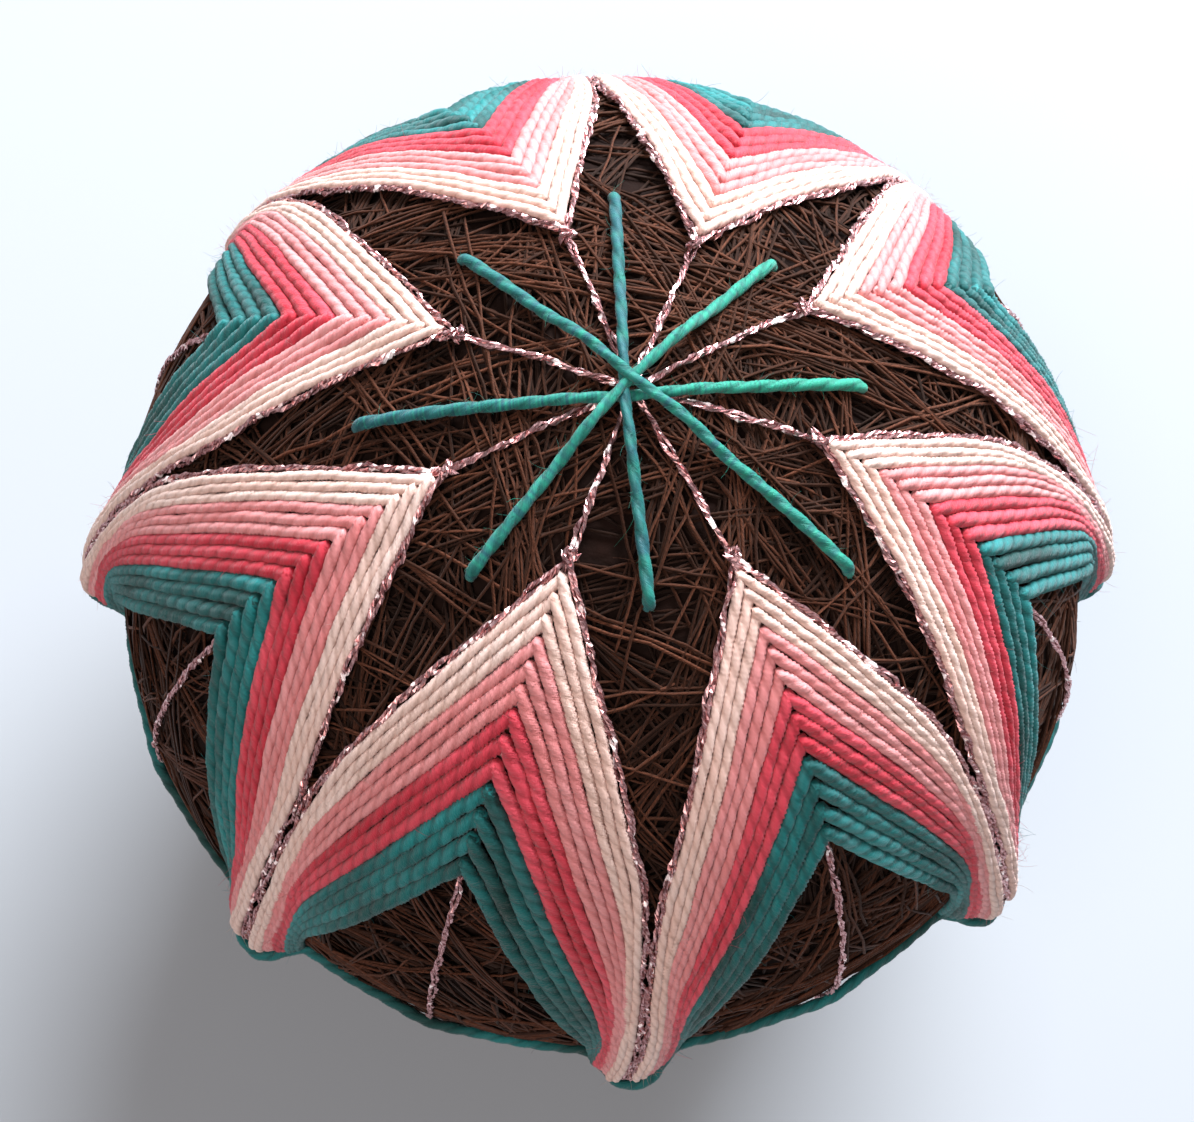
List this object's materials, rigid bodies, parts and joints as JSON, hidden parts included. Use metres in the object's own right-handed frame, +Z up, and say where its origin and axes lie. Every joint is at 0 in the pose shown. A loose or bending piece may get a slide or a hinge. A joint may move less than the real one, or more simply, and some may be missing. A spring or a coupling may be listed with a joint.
{
  "type": "temari ball",
  "caption": "Brown thread ball embroidered with a pointed flower of metallic, cream, pink and teal rows, and a teal star at its pole.",
  "frame": {"origin": "centre of the ball's flat spot, at the bottom centre of its box", "axes": "+Z up along the ball's axis through the pole of the pattern; outer points lie near 0, 45, 90 degrees and so on round it"},
  "size_m": [0.0772, 0.0772, 0.0714],
  "materials": {
    "brown_thread": "matte",
    "rose_metallic_thread": "metallic",
    "cream_pearl_cotton": "soft sheen",
    "light_pink_pearl_cotton": "soft sheen",
    "deep_pink_pearl_cotton": "soft sheen",
    "teal_pearl_cotton": "soft sheen"
  },
  "bodies": {
    "root": {"thread_ball": "brown_thread", "marker_lines": "rose_metallic_thread", "metallic_row": "rose_metallic_thread", "cream_rows": "cream_pearl_cotton", "light_pink_rows": "light_pink_pearl_cotton", "deep_pink_rows": "deep_pink_pearl_cotton", "teal_rows": "teal_pearl_cotton", "pole_star": "teal_pearl_cotton", "equator_thread": "teal_pearl_cotton"}
  },
  "joints": []
}
